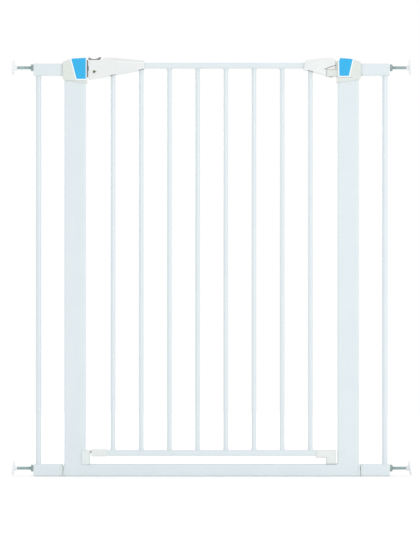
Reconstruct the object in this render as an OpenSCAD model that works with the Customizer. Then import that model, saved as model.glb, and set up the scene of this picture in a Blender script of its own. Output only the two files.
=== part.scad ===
// Pressure-fit safety gate with an extension frame on each side.
// The origin is on the floor, midway between the two posts and midway through the frame's depth.
// +X runs to the hinge side, +Y runs away from the side with the arrow, and +Z is up.

/* [Frame] */
// Clear width between the two posts
opening_w = 594; // [480:1:740]
// Height of the posts above the floor
post_top = 974; // [700:1:1200]
// Width of a post, seen from the front
post_w = 50; // [40:1:60]
// Depth of the posts, the bottom rail and the extension tubes
frame_d = 25; // [22:0.5:28]
// Height of the bottom rail and of the extension tubes
rail_h = 28; // [26:0.5:36]
// Wall of the frame's steel tubes
tube_wall = 1.2; // [0.8:0.1:2]
// Outside corner radius of the frame's steel tubes
tube_r = 3; // [2.5:0.5:5]

/* [Extension] */
// Length of an extension frame, along the wall-to-wall line
ext_w = 68; // [66:1:140]
// Gap between the posts' caps and an extension frame
ext_gap = 0.5; // [0.3:0.1:2]
// Diameter of an extension frame's upright bar
ext_bar_dia = 12.7; // [10:0.1:16]
// Distance from an extension frame's outer end to its upright bar's axis
ext_bar_in = 11.5; // [9:0.5:20]
// Diameter of the spigots that join an extension frame to the gate
spigot_dia = 10; // [8:0.5:11]

/* [Spindles] */
// Diameter of the threaded rods
rod_dia = 8; // [6:1:10]
// Length of rod left inside the tube at rest
rod_inside = 28; // [24:1:40]
// Distance from the tube's end to the centre of the rod's ball, at rest
rod_outside = 44; // [40:1:60]
// How far the rods lie above the middle of their tube
rod_off = 4.5; // [0:0.5:5]
// Width of the nuts across their flats
nut_af = 14; // [13:0.5:17]
// Thickness of the nuts
nut_t = 6.5; // [5:0.5:8]
// Diameter of the wall pads
pad_dia = 34; // [28:1:36]
// Thickness of a wall pad's disc
pad_t = 5.6; // [4:0.2:8]
// Lean of the two upper wall pads at rest, in degrees
upper_lean = 3.5; // [0:0.5:9]
// Lean of the two lower wall pads at rest, in degrees
lower_lean = 8; // [0:0.5:9]

/* [Door] */
// Diameter of the door's bars
bar_dia = 11; // [8:0.5:13]
// Distance from a post to the axis of the nearest bar
bar_edge = 64.25; // [58:0.25:72]
// Height of the door's two rails
door_rail_h = 13; // [10:0.5:16]
// Depth of the door's two rails
door_rail_d = 20; // [16:0.5:22]
// Wall of the door's tubes
door_wall = 1; // [0.8:0.1:1.5]
// Gap between the bottom rail and the door's bottom rail
door_gap = 20; // [18:0.5:40]
// Diameter of the hinge pins
pin_dia = 8; // [6:0.5:10]

/* [Plastic fittings] */
// Wall of a post cap, in front of its post and behind it
cap_wall = 2.5; // [2:0.1:4]
// How far a cap stands out from the post on its outer side
cap_out = 4.5; // [3:0.5:6]
// How far a cap stands out from the post on its inner side
cap_in = 2.5; // [2:0.1:3]
// Depth of the handle and of the hinge housing
handle_d = 28; // [26:0.5:34]
// Length of the handle
handle_len = 131; // [126:1:150]
// Gap between the left post and the handle
handle_gap = 7; // [6.5:0.5:9]
// Wall of the handle and of the hinge housing
shell_wall = 2.2; // [1.6:0.1:3]

/* [Lock] */
// Travel of the lock button
lock_travel = 10; // [8:0.5:11]
// Height the door can be lifted
door_lift = 12; // [10:0.5:12]
// Height of the bolt
bolt_h = 12; // [9:0.5:12]
// Thickness of the bolt
bolt_t = 8; // [5:0.5:9]

/* [Clearances] */
// Radial clearance of a pin or rod that turns or slides
running_gap = 0.05; // [0.02:0.01:0.1]
// Gap between moving parts that pass each other
moving_gap = 0.4; // [0.3:0.1:0.6]
// Gap round parts that are fitted together and stay put
fitted_gap = 0.1; // [0.05:0.05:0.2]
// Gap between the round end of the hinge housing and the hinge cap
hinge_gap = 0.5; // [0.4:0.1:1.5]

/* [Hidden] */

$fn = 64;
far = 1500; // longer than any cut needs
past = 1;   // how far a cut runs past the face it opens

LEFT = -1;
RIGHT = 1;

// Frame
post_in = opening_w / 2;
post_out = post_in + post_w;
plug_head = 3;     // thickness of an end plug's head
plug_depth = 10.5; // length of an end plug inside its tube
guide_depth = 15;  // the same for the outer plugs, which guide the rods
plug_bevel = 1.5;  // bevel round an end plug's head
rail_end = post_out + 1.5;
rod_rise = rail_h / 2 + rod_off;

// Screws
screw_r = 1.75;
screw_head_r = 3.4;
screw_head_t = 2;

// Caps, with every height measured from the post's top
cap_d = frame_d + 2 * cap_wall;
cap_peak = post_top + 11.7;
cap_foot = post_top - 48.5;
cap_pocket_top = post_top + 0.3;
cap_screw_len = 6;
cap_screw_heights = [post_top - 32, post_top - 8];
cap_screw_x = post_out - 9; // clear of the inlay
inlay_t = 1.8;      // thickness of an inlay
inlay_proud = 0.3;  // how far an inlay stands out from its cap
hinge_side_in = 1;  // how far the hinge cap's upper part stands out, beside the turning knuckle
arm_top = post_top - 16.2;
arm_bottom = post_top - 32;

// The caps' outlines, with X measured outwards from the post's inner face
latch_cap_outline = [
    [-cap_in, cap_foot], [-cap_in, cap_peak], [post_w - 15.2, cap_peak - 2.3],
    [post_w + cap_out, post_top + 2], [post_w + cap_out, post_top - 36], [post_w, post_top - 41.3]
];
hinge_cap_outline = [
    [-cap_in, cap_foot + 2], [-cap_in, arm_bottom - 1], [-hinge_side_in, arm_bottom - 1],
    [-hinge_side_in, post_top + 4], [4, cap_peak - 0.5], [post_w - 14, cap_peak - 3.1],
    [post_w + cap_out, post_top + 2], [post_w + cap_out, post_top - 36], [post_w, post_top - 39.4]
];
latch_inlay_outline = [
    [-0.8, cap_foot + 11], [-0.8, cap_peak + 2], [post_w - 15.4, cap_peak + 2],
    [post_w - 15.4, cap_peak - 2.6], [post_w - 27, cap_foot + 11]
];
hinge_inlay_outline = [
    [3, arm_bottom + 1.3], [2.4, post_top + 4], [6.4, cap_peak + 2], [post_w - 14.6, cap_peak + 2],
    [post_w - 14.6, cap_peak - 3.9], [post_w - 23.6, arm_bottom + 1.3]
];

// Strip between the latch cap and the handle
buffer_t = 2.5;
buffer_w = 20;
buffer_low = post_top - 33;
buffer_high = post_top + 6.6;

// Extension frames
ext_in = post_out + cap_out + ext_gap;
ext_out = ext_in + ext_w;
ext_top_z = post_top - 1.5 - rail_h;
spigot_reach = 14;  // length of spigot inside the gate, from the extension's inner end
spigot_stop = 3;    // distance from a spigot's end to the end of its plug

// Spindles
ball_x = ext_out + rod_outside;
ball_r = 3.6;
socket_r = ball_r + 0.3;
neck_r = 2.5;
hub_tip = 5.5;       // distance from the ball's centre to the hub's tip
hub_tip_r = 5.3;
hub_base_r = 9;
mouth_r = 3.8;       // mouth of the hub, wide enough for the neck at full swivel
neck_len = 6.7;      // from the ball's centre to the rod's shoulder
flare_steps = 6;     // stretches in the curve of the hub
pad_face = 6.5;      // from the ball's centre to the face that presses on the wall
pad_r = pad_dia / 2;

// Door
bar_count = 8; // one node for each bar
bar_pitch = (opening_w - 2 * bar_edge) / (bar_count - 1);
knuckle_r = handle_d / 2;
hinge_x = post_in - hinge_side_in - hinge_gap - knuckle_r;
door_bottom_z = rail_h + door_gap;
door_top_z = post_top + 0.5 - door_rail_h;
bar_low = door_bottom_z + door_rail_h;
door_left = -post_in + 52;
door_bottom_left = -post_in + 35;
door_right = hinge_x - knuckle_r - 5.5;
door_tube_r = tube_r - 0.5; // outside corner radius of the door's rails
bar_hole = 60;              // how far down a fitting is cut for the bars that run up into it

// Hinge
knuckle_low = arm_top + moving_gap;
pin_r = pin_dia / 2;
bush_r = pin_r + 2;
collar_r = pin_r + 2;   // collar that keeps a pin in the door's fitting
collar_t = 2;
upper_pin_top = post_top - 2;
upper_collar_z = arm_top + 5;
leg_low = rail_h + moving_gap;
leg_r = knuckle_r - 2.5;
leg_flat = 7.5; // half the flat side of the leg, whose corners must pass the post

// Hinge housing, with X measured from the hinge axis
block_right = -knuckle_r - 0.3;
housing_outline = [
    [-66, knuckle_low], [-60.5, post_top + 6.6], [-20, post_top + 11], [-3, post_top + 12],
    [4.5, post_top + 11], [10, post_top + 7.5], [knuckle_r, post_top + 0.7], [knuckle_r, knuckle_low],
    [block_right, knuckle_low], [block_right, post_top - 29]
];
housing_cavity = [
    [-66, knuckle_low], [-60.5, post_top + 6.6], [-20, post_top + 11],
    [block_right, post_top + 11.2], [block_right, post_top - 29]
];
// Groove that runs from the foot of the block up to the cap
seam_line = [
    [block_right - past, arm_top + 0.6], [-2, arm_top + 6.2],
    [9.5, arm_top + 9.2], [knuckle_r + past, arm_top + 13.8]
];
seam_t = 1.6;
seam_depth = 3;
housing_rib_x = hinge_x - 38;
housing_screw_places = [
    [hinge_x - 55, post_top + 3.5],
    [hinge_x - 24, post_top + 4.5],
    [hinge_x + block_right - 5.7, post_top - 24]
];

// Handle and lock
handle_x = -post_in + handle_gap;
handle_top = post_top + 7;
bolt_z = post_top - 19;
bolt_tip = handle_x - 11;
bolt_back = handle_x + 20;
spring_seat = door_left - 3;
stem_x = handle_x + 4;
stem_w = 8;
stem_t = 6;
button_w = 16;
button_len = 30;
button_x = handle_x - 0.6;
button_low = handle_top + moving_gap;
saddle_r = 19.2; // radius of the hollow in the button, for the finger
saddle_x = button_x + 13.5;
saddle_z = button_low + 21;
slot_half = bolt_t / 2 + 1;
slot_reach = 8;  // depth of the bolt's slot behind the post's face
keeper_w = 2 * (frame_d / 2 - tube_r - 0.5);
keeper_t = 9;
keeper_drop = 6; // how far the keeper reaches below the bolt
rib_t = 2;
shell_screw_len = 18;
shell_boss_y = -8; // front end of the screws' holes
handle_ribs = [spring_seat, handle_x + 75, handle_x + 105];
stop_rib_x = handle_x + 13.5;
handle_screw_places = [[handle_x + 7, handle_top - 38], [handle_x + 92, handle_top - 4.5]];
arrow_depth = 1;
arrow_half = 3.6;
handle_outline = [
    [0, handle_top - 45], [0, handle_top - 1], [1, handle_top], [32, handle_top], [36, handle_top + 3.4],
    [40, handle_top + 5], [45, handle_top + 5.5], [62, handle_top + 5], [handle_len - 2, handle_top - 1.6],
    [handle_len, handle_top - 3.4], [handle_len, handle_top - 22.5], [53, handle_top - 37.5],
    [2, handle_top - 45.7]
];
handle_cavity = [
    [0, handle_top - 45], [0, handle_top], [32, handle_top], [40, handle_top + 5], [62, handle_top + 5],
    [handle_len, handle_top - 1.6], [handle_len, handle_top - 22.5], [53, handle_top - 37.5]
];

// Coil spring behind the bolt
spring_r = 3.5;
spring_wire = 0.5; // radius of the wire
spring_turns = 8;
spring_steps = 14; // rings in a turn
spring_sides = 6;

// Feet and catch
tongue_t = 8;
tongue_low = door_bottom_z + 6;
tongue_high = door_bottom_z + door_rail_h;
tongue_tip = -post_in + 2;
lower_pin_top = tongue_high - 4;
lower_collar_z = door_bottom_z + 2;
latch_foot_x = [-post_in + 15.5, -post_in + 51];
latch_foot_z = [door_bottom_z - 1.5, tongue_high + 1.6];
foot_half_d = door_rail_d / 2 + 1.5;
hinge_foot_len = 36;
hinge_foot_low = door_bottom_z - 5;
hinge_foot_high = tongue_high + 0.4;
catch_top = tongue_high + 2.7;
catch_low = post_in - 9.6;
catch_high = post_in + 10;
catch_r = 3;
catch_wall = 1.2;   // between the catch's slot and the post
catch_screw_z = rail_h + 12;
catch_screw_in = 3; // how far the catch's screw comes through the post's wall

WHITE = [0.90, 0.93, 0.94];
OFF_WHITE = [0.90, 0.91, 0.89];
BLUE = [0.28, 0.74, 0.94];
ZINC = [0.70, 0.76, 0.76];
DARK = [0.25, 0.26, 0.27];
GREEN = [0.42, 0.50, 0.28];

// ---------- shared shapes ----------

// Mirrors what follows to the left or leaves it on the right.
module on_side(side) {
    mirror([side == LEFT ? 1 : 0, 0, 0]) children();
}

// A flat outline in X and Z, given thickness from y0 to y1.
module slab(y0, y1) {
    translate([0, y1, 0]) rotate([90, 0, 0]) linear_extrude(y1 - y0) children();
}

// A flat outline in Y and Z, drawn out along X from x0 to x1.
module along_x(x0, x1) {
    translate([x0, 0, 0]) rotate([90, 0, 90]) linear_extrude(x1 - x0) children();
}

// A cylinder along X from x0 to x1, centred on height z.
module rod_x(x0, x1, z, r) {
    translate([x0, 0, z]) rotate([0, 90, 0]) cylinder(r = r, h = x1 - x0);
}

// A cylinder along Y from y0 to y1.
module rod_y(y0, y1, x, z, r) {
    translate([x, y1, z]) rotate([90, 0, 0]) cylinder(r = r, h = y1 - y0);
}

// A box between its lowest and highest corners.
module box(low, high) {
    translate(low) cube(high - low);
}

// A rectangle with round corners.
module rounded(w, h, r) {
    square([w - 2 * r, h], center = true);
    square([w, h - 2 * r], center = true);
    for (sx = [-1, 1], sy = [-1, 1])
        translate([sx * (w / 2 - r), sy * (h / 2 - r)]) circle(r);
}

// Section of a rectangular tube.
module ring_section(w, h, r, wall) {
    difference() {
        rounded(w, h, r);
        rounded(w - 2 * wall, h - 2 * wall, r - wall);
    }
}

// Where two edges meet once each has moved inwards by d; the outline runs clockwise.
function edge_normal(a, b) = [b[1] - a[1], a[0] - b[0]] / norm(b - a);
function meet(a, u, b, v) =
    let (k = u[0] * v[1] - u[1] * v[0], w = b - a, t = (w[0] * v[1] - w[1] * v[0]) / k) a + t * u;
function inset(pts, d) = [
    for (i = [0 : len(pts) - 1])
        let (
            p = pts[(i + len(pts) - 1) % len(pts)],
            q = pts[i],
            s = pts[(i + 1) % len(pts)]
        )
        meet(q + d * edge_normal(p, q), q - p, q + d * edge_normal(q, s), s - q)
];

// ---------- fixed frame ----------

module bottom_rail() {
    end = rail_end - plug_head;
    color(WHITE) difference() {
        along_x(-end, end) translate([0, rail_h / 2]) ring_section(frame_d, rail_h, tube_r, tube_wall);
        translate([hinge_x, 0, rail_h / 2]) cylinder(r = bush_r, h = rail_h);
    }
}

module post_tube() {
    translate([post_in + post_w / 2, 0, rail_h])
        linear_extrude(post_top - rail_h) ring_section(post_w, frame_d, tube_r, tube_wall);
}

module post_holes() {
    rod_x(post_out - tube_wall - past, far, ext_top_z + rod_rise, spigot_dia / 2 + fitted_gap);
    for (z = cap_screw_heights) rod_y(0, frame_d, cap_screw_x, z, screw_r);
}

module left_post() {
    color(WHITE) on_side(LEFT) difference() {
        post_tube();
        post_holes();
        box([post_in - past, -slot_half, bolt_z - moving_gap], [post_in + slot_reach, slot_half, far]);
        rod_x(post_in - past, post_in + tube_wall + past, catch_screw_z, screw_r);
    }
}

module right_post() {
    color(WHITE) difference() {
        post_tube();
        post_holes();
    }
}

// An end plug whose head's outer face is at x, with its body running inwards from there.
module end_plug(x, z, depth, bore_r) {
    shrink = 2 * tube_wall + fitted_gap;
    difference() {
        union() {
            along_x(x - plug_head, x - plug_bevel)
                translate([0, z]) rounded(frame_d, rail_h, tube_r);
            along_x(x - plug_bevel, x)
                translate([0, z]) rounded(frame_d - 2 * plug_bevel, rail_h - 2 * plug_bevel, tube_r);
            along_x(x - plug_head - depth, x - plug_head)
                translate([0, z]) rounded(frame_d - shrink, rail_h - shrink, tube_r - tube_wall);
        }
        rod_x(x - far, x + past, z - rail_h / 2 + rod_rise, bore_r);
    }
}

module rail_end_plugs() {
    color(WHITE) for (side = [LEFT, RIGHT])
        on_side(side) end_plug(rail_end, rail_h / 2, plug_depth, spigot_dia / 2 + fitted_gap);
}

// ---------- caps ----------

// A cap's outline, moved to the post.
module outline(pts) {
    translate([post_in, 0]) polygon(pts);
}

// What the inlay's pocket leaves of a cap: its core, smaller all round by the inlay's thickness.
module cap_core(pts, depth) {
    slab(-cap_d / 2 + depth, cap_d / 2 - depth) outline(inset(pts, depth));
}

module cap_body(pts, inlay_pts) {
    difference() {
        slab(-cap_d / 2, cap_d / 2) outline(pts);
        difference() {
            slab(-far, far) outline(inlay_pts);
            cap_core(pts, inlay_t - inlay_proud);
        }
        translate([post_in + post_w / 2, 0, 0]) linear_extrude(cap_pocket_top)
            rounded(post_w + 2 * fitted_gap, frame_d + 2 * fitted_gap, tube_r);
        rod_x(post_out, far, ext_top_z + rod_rise, spigot_dia / 2 + fitted_gap);
        for (z = cap_screw_heights) {
            rod_y(0, cap_d, cap_screw_x, z, screw_r + fitted_gap);
            rod_y(cap_d / 2 - screw_head_t / 2, cap_d, cap_screw_x, z, screw_head_r + fitted_gap);
        }
    }
}

module cap_inlay(pts, inlay_pts) {
    grown = inset(pts, -inlay_proud);
    difference() {
        intersection() {
            slab(-cap_d / 2 - inlay_proud, cap_d / 2 + inlay_proud) outline(inset(inlay_pts, fitted_gap));
            slab(-far, far) outline(grown);
        }
        cap_core(pts, inlay_t - inlay_proud);
    }
}

module latch_cap() {
    color(OFF_WHITE) on_side(LEFT) difference() {
        cap_body(latch_cap_outline, latch_inlay_outline);
        bolt_slot(-cap_in - past, slot_reach);
    }
}

// The space that the bolt needs, from and to being measured outwards from the post's inner face.
module bolt_slot(from, to) {
    box(
        [post_in + from, -slot_half, bolt_z - moving_gap],
        [post_in + to, slot_half, bolt_z + bolt_h + door_lift + moving_gap]
    );
}

module latch_inlay() {
    color(BLUE) on_side(LEFT) cap_inlay(latch_cap_outline, latch_inlay_outline);
}

module latch_buffer() {
    color(DARK) on_side(LEFT) difference() {
        box(
            [post_in - cap_in - buffer_t, -buffer_w / 2, buffer_low],
            [post_in - cap_in, buffer_w / 2, buffer_high]
        );
        bolt_slot(-cap_in - buffer_t - past, 0);
    }
}

module keeper() {
    x0 = post_in + tube_wall;
    color(OFF_WHITE) on_side(LEFT) difference() {
        box([x0, -keeper_w / 2, bolt_z - keeper_drop], [x0 + keeper_t, keeper_w / 2, post_top]);
        bolt_slot(0, slot_reach);
    }
}

module hinge_cap() {
    reach = knuckle_r + hinge_gap;
    color(OFF_WHITE) difference() {
        union() {
            cap_body(hinge_cap_outline, hinge_inlay_outline);
            translate([hinge_x, 0, arm_bottom]) cylinder(r = knuckle_r, h = arm_top - arm_bottom);
            box([hinge_x, -knuckle_r, arm_bottom], [hinge_x + reach, knuckle_r, arm_top]);
        }
        translate([hinge_x, 0, 0]) cylinder(r = bush_r, h = post_top);
    }
}

module hinge_inlay() {
    color(BLUE) cap_inlay(hinge_cap_outline, hinge_inlay_outline);
}

// A screw along Y, put in from behind; its head's outer face is at y.
module screw_y(x, y, z, len) {
    rod_y(y - screw_head_t, y, x, z, screw_head_r);
    rod_y(y - screw_head_t - len, y - screw_head_t, x, z, screw_r);
}

module cap_screws() {
    y = cap_d / 2 + screw_head_t / 2;
    color(ZINC) for (side = [LEFT, RIGHT], z = cap_screw_heights)
        on_side(side) screw_y(cap_screw_x, y, z, cap_screw_len);
}

// ---------- hinges ----------

module bush(z0, z1) {
    translate([hinge_x, 0, z0]) difference() {
        cylinder(r = bush_r, h = z1 - z0);
        translate([0, 0, -past]) cylinder(r = pin_r + running_gap, h = z1 - z0 + 2 * past);
    }
}

module upper_hinge_bush() {
    color(OFF_WHITE) bush(arm_bottom, arm_top);
}

module lower_hinge_bush() {
    color(OFF_WHITE) bush(tube_wall, rail_h);
}

// A pin on the hinge axis, with the collar that keeps it in the door's fitting.
module hinge_pin(z0, z1, collar_z) {
    translate([hinge_x, 0, 0]) {
        translate([0, 0, z0]) cylinder(r = pin_r, h = z1 - z0);
        translate([0, 0, collar_z]) cylinder(r = collar_r, h = collar_t);
    }
}

// The space that a pin needs in the door's fitting.
module pin_space(z1, collar_z) {
    translate([hinge_x, 0, 0]) {
        cylinder(r = pin_r + running_gap, h = z1 + moving_gap);
        translate([0, 0, collar_z - moving_gap])
            cylinder(r = collar_r + moving_gap, h = collar_t + 2 * moving_gap);
    }
}

module upper_hinge_pin() {
    color(ZINC) hinge_pin(arm_bottom - 1.5, upper_pin_top, upper_collar_z);
}

module lower_hinge_pin() {
    color(ZINC) hinge_pin(tube_wall + 4, lower_pin_top, lower_collar_z);
}

// ---------- lower catch ----------

module bottom_catch() {
    color(OFF_WHITE) on_side(LEFT) difference() {
        slab(-cap_d / 2, cap_d / 2) translate([(catch_low + catch_high) / 2, (rail_h + catch_top) / 2])
            rounded(catch_high - catch_low, catch_top - rail_h, catch_r);
        box([post_in - fitted_gap, -frame_d / 2 - fitted_gap, 0], [far, frame_d / 2 + fitted_gap, far]);
        box([0, -tongue_t / 2 - past, tongue_low - 2], [post_in - catch_wall, tongue_t / 2 + past, far]);
        rod_x(0, post_in + past, catch_screw_z, screw_r + fitted_gap);
        rod_x(0, catch_low + screw_head_t, catch_screw_z, screw_head_r + fitted_gap);
    }
}

module catch_screw() {
    x = catch_low + screw_head_t;
    color(ZINC) on_side(LEFT) {
        rod_x(x - screw_head_t, x, catch_screw_z, screw_head_r);
        rod_x(x, post_in + tube_wall + catch_screw_in, catch_screw_z, screw_r);
    }
}

// ---------- extension frames ----------

module extension_tube(z) {
    along_x(ext_in + plug_head, ext_out - plug_head)
        translate([0, z + rail_h / 2]) ring_section(frame_d, rail_h, tube_r, tube_wall);
}

module extension_bar() {
    color(WHITE) translate([ext_out - ext_bar_in, 0, rail_h]) difference() {
        cylinder(d = ext_bar_dia, h = ext_top_z - rail_h);
        translate([0, 0, -past])
            cylinder(d = ext_bar_dia - 2 * door_wall, h = ext_top_z - rail_h + 2 * past);
    }
}

module left_extension_top() {
    color(WHITE) on_side(LEFT) extension_tube(ext_top_z);
}

module left_extension_bottom() {
    color(WHITE) on_side(LEFT) extension_tube(0);
}

module left_extension_bar() {
    on_side(LEFT) extension_bar();
}

module right_extension_top() {
    color(WHITE) extension_tube(ext_top_z);
}

module right_extension_bottom() {
    color(WHITE) extension_tube(0);
}

module right_extension_bar() {
    extension_bar();
}

// Repeats what follows at the four ends of the extension tubes.
module at_spindles() {
    for (side = [LEFT, RIGHT], z = [0, ext_top_z]) on_side(side) translate([0, 0, z]) children();
}

module extension_inner_plugs() {
    color(WHITE) at_spindles() translate([ext_in + ext_out, 0, 0]) mirror([1, 0, 0])
        end_plug(ext_out, rail_h / 2, plug_depth, spigot_dia / 2);
}

module extension_outer_plugs() {
    color(WHITE) at_spindles() end_plug(ext_out, rail_h / 2, guide_depth, rod_dia / 2 + running_gap);
}

module extension_spigots() {
    color(ZINC) at_spindles()
        rod_x(ext_in - spigot_reach, ext_in + plug_head + plug_depth - spigot_stop, rod_rise, spigot_dia / 2);
}

// ---------- spindles ----------

module nut() {
    x = ext_out + fitted_gap;
    translate([x, 0, rod_rise]) rotate([90, 0, 90]) difference() {
        rotate(30) cylinder(r = nut_af / 2 / cos(30), h = nut_t, $fn = 6);
        translate([0, 0, -past]) cylinder(r = rod_dia / 2 + running_gap, h = nut_t + 2 * past);
    }
}

module rod() {
    rod_x(ext_out - rod_inside, ball_x - neck_len, rod_rise, rod_dia / 2);
    rod_x(ball_x - neck_len, ball_x, rod_rise, neck_r);
    translate([ball_x, 0, rod_rise]) sphere(r = ball_r);
}

// Half-section of a wall pad, from its face at 0 to the hub's tip, as radius and distance.
function pad_section() =
    let (
        tip = pad_face + hub_tip,
        flare = [
            for (i = [0 : flare_steps])
                let (a = 90 * i / flare_steps)
                [hub_tip_r + (hub_base_r - hub_tip_r) * (1 - sin(a)), pad_t + (tip - pad_t) * (1 - cos(a))]
        ]
    )
    concat(
        [[0, 0], [pad_r - 1.5, 0], [pad_r, 1.2], [pad_r, pad_t - 2.2], [pad_r - 2, pad_t - 0.8]],
        flare,
        [[0, tip]]
    );

module pad(lean) {
    translate([ball_x, 0, rod_rise]) rotate([0, -lean, 0]) translate([pad_face, 0, 0]) rotate([0, -90, 0])
        difference() {
            rotate_extrude() polygon(pad_section());
            translate([0, 0, pad_face]) sphere(r = socket_r);
            translate([0, 0, pad_face]) cylinder(r1 = neck_r + moving_gap, r2 = mouth_r, h = hub_tip);
            translate([0, 0, pad_face + hub_tip - 0.01]) cylinder(r = mouth_r, h = past);
        }
}

// Puts what follows at the end of one extension tube, whose underside is at z.
module spindle_place(side, z) {
    on_side(side) translate([0, 0, z]) children();
}

module nut_upper_left() { color(ZINC) spindle_place(LEFT, ext_top_z) nut(); }
module nut_lower_left() { color(ZINC) spindle_place(LEFT, 0) nut(); }
module nut_upper_right() { color(ZINC) spindle_place(RIGHT, ext_top_z) nut(); }
module nut_lower_right() { color(ZINC) spindle_place(RIGHT, 0) nut(); }

module rod_upper_left() { color(ZINC) spindle_place(LEFT, ext_top_z) rod(); }
module rod_lower_left() { color(ZINC) spindle_place(LEFT, 0) rod(); }
module rod_upper_right() { color(ZINC) spindle_place(RIGHT, ext_top_z) rod(); }
module rod_lower_right() { color(ZINC) spindle_place(RIGHT, 0) rod(); }

module pad_upper_left() { color(WHITE) spindle_place(LEFT, ext_top_z) pad(upper_lean); }
module pad_lower_left() { color(WHITE) spindle_place(LEFT, 0) pad(lower_lean); }
module pad_upper_right() { color(WHITE) spindle_place(RIGHT, ext_top_z) pad(upper_lean); }
module pad_lower_right() { color(WHITE) spindle_place(RIGHT, 0) pad(lower_lean); }

// ---------- door ----------

module door_rail(x0, x1, z) {
    color(WHITE) along_x(x0, x1) translate([0, z + door_rail_h / 2])
        ring_section(door_rail_d, door_rail_h, door_tube_r, door_wall);
}

module door_top_rail() {
    door_rail(door_left, door_right, door_top_z);
}

module door_bottom_rail() {
    door_rail(door_bottom_left, door_right, door_bottom_z);
}

function bar_x(number) = (number - (bar_count + 1) / 2) * bar_pitch;

module door_bar(number) {
    length = door_top_z - bar_low;
    color(WHITE) translate([bar_x(number), 0, bar_low]) difference() {
        cylinder(d = bar_dia, h = length);
        translate([0, 0, -past]) cylinder(d = bar_dia - 2 * door_wall, h = length + 2 * past);
    }
}

// The holes that the door's bars and top rail need in a plastic fitting.
module top_rail_space() {
    along_x(door_left - fitted_gap, door_right + fitted_gap) translate([0, door_top_z + door_rail_h / 2])
        square([door_rail_d + 2 * fitted_gap, door_rail_h + 2 * fitted_gap], center = true);
    for (number = [1 : bar_count])
        translate([bar_x(number), 0, door_top_z - bar_hole])
            cylinder(r = bar_dia / 2 + fitted_gap, h = bar_hole);
}

// ---------- handle ----------

module at_handle() {
    translate([handle_x, 0]) children();
}

module handle_body() {
    difference() {
        slab(-handle_d / 2, handle_d / 2) at_handle() polygon(handle_outline);
        difference() {
            slab(-handle_d / 2 + shell_wall, handle_d / 2 - shell_wall)
                at_handle() polygon(inset(handle_cavity, shell_wall));
            for (x = handle_ribs) box([x, -far, 0], [x + rib_t, far, far]);
            box([stop_rib_x, -far, 0], [stop_rib_x + rib_t, far, bolt_z + bolt_h + moving_gap]);
            for (place = handle_screw_places) rod_y(-far, far, place[0], place[1], screw_head_r);
        }
        top_rail_space();
        box(
            [bolt_tip, -bolt_t / 2 - moving_gap, bolt_z - moving_gap],
            [bolt_back + lock_travel, bolt_t / 2 + moving_gap, bolt_z + bolt_h + moving_gap]
        );
        box(
            [stem_x - moving_gap, -stem_t / 2 - moving_gap, bolt_z],
            [stem_x + stem_w + lock_travel + moving_gap, stem_t / 2 + moving_gap, far]
        );
        box(
            [handle_x - past, -button_w / 2 - moving_gap, handle_top],
            [button_x + button_len + lock_travel + moving_gap, button_w / 2 + moving_gap, far]
        );
        slab(-far, -handle_d / 2 + arrow_depth) arrow_outline(fitted_gap);
        shell_screw_holes(handle_screw_places);
    }
}

// Holes for the screws that come from behind and hold a front shell to its back shell.
module shell_screw_holes(places) {
    for (place = places) {
        rod_y(shell_boss_y, far, place[0], place[1], screw_r + fitted_gap);
        rod_y(handle_d / 2 - screw_head_t, far, place[0], place[1], screw_head_r + fitted_gap);
    }
}

// The arrow that shows which way the button slides.
module arrow_outline(gap) {
    at_handle() translate([14.5, handle_top - 27.2]) polygon([
        [-arrow_half - gap, arrow_half + 1.7 * gap], [arrow_half + 2 * gap, 0],
        [-arrow_half - gap, -arrow_half - 1.7 * gap]
    ]);
}

module handle_front() {
    color(OFF_WHITE) intersection() {
        handle_body();
        box([-far, -far, 0], [far, 0, far]);
    }
}

module handle_back() {
    color(OFF_WHITE) intersection() {
        handle_body();
        box([-far, 0, 0], [far, far, far]);
    }
}

module handle_screws() {
    color(ZINC) for (place = handle_screw_places)
        screw_y(place[0], handle_d / 2, place[1], shell_screw_len);
}

module handle_arrow() {
    color(GREEN) slab(-handle_d / 2, -handle_d / 2 + arrow_depth) arrow_outline(0);
}

// ---------- hinge housing ----------

module at_hinge() {
    translate([hinge_x, 0]) children();
}

// The housing seen from above: round about the hinge axis and straight towards the latch side.
module housing_plan(r) {
    translate([hinge_x, 0, 0]) linear_extrude(far) {
        circle(r);
        translate([-far, -r]) square([far, 2 * r]);
    }
}

module seam_cut() {
    upper_edge = [for (i = [len(seam_line) - 1 : -1 : 0]) seam_line[i] + [0, seam_t]];
    difference() {
        slab(-far, far) at_hinge() polygon(concat(seam_line, upper_edge));
        housing_plan(knuckle_r - seam_depth);
    }
}

module housing_body() {
    difference() {
        intersection() {
            slab(-handle_d / 2, handle_d / 2) at_hinge() polygon(housing_outline);
            housing_plan(knuckle_r);
        }
        difference() {
            slab(-handle_d / 2 + shell_wall, handle_d / 2 - shell_wall)
                at_hinge() polygon(inset(housing_cavity, shell_wall));
            box([housing_rib_x, -far, 0], [housing_rib_x + rib_t, far, far]);
            for (place = housing_screw_places) rod_y(-far, far, place[0], place[1], screw_head_r);
        }
        seam_cut();
        top_rail_space();
        pin_space(upper_pin_top, upper_collar_z);
        shell_screw_holes(housing_screw_places);
    }
}

module housing_front() {
    color(OFF_WHITE) intersection() {
        housing_body();
        box([-far, -far, 0], [far, 0, far]);
    }
}

module housing_back() {
    color(OFF_WHITE) intersection() {
        housing_body();
        box([-far, 0, 0], [far, far, far]);
    }
}

module housing_screws() {
    color(ZINC) for (place = housing_screw_places)
        screw_y(place[0], handle_d / 2, place[1], shell_screw_len);
}

// ---------- feet ----------

module bottom_rail_space() {
    along_x(door_bottom_left, door_right) translate([0, door_bottom_z + door_rail_h / 2])
        rounded(door_rail_d, door_rail_h, door_tube_r);
}

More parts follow.
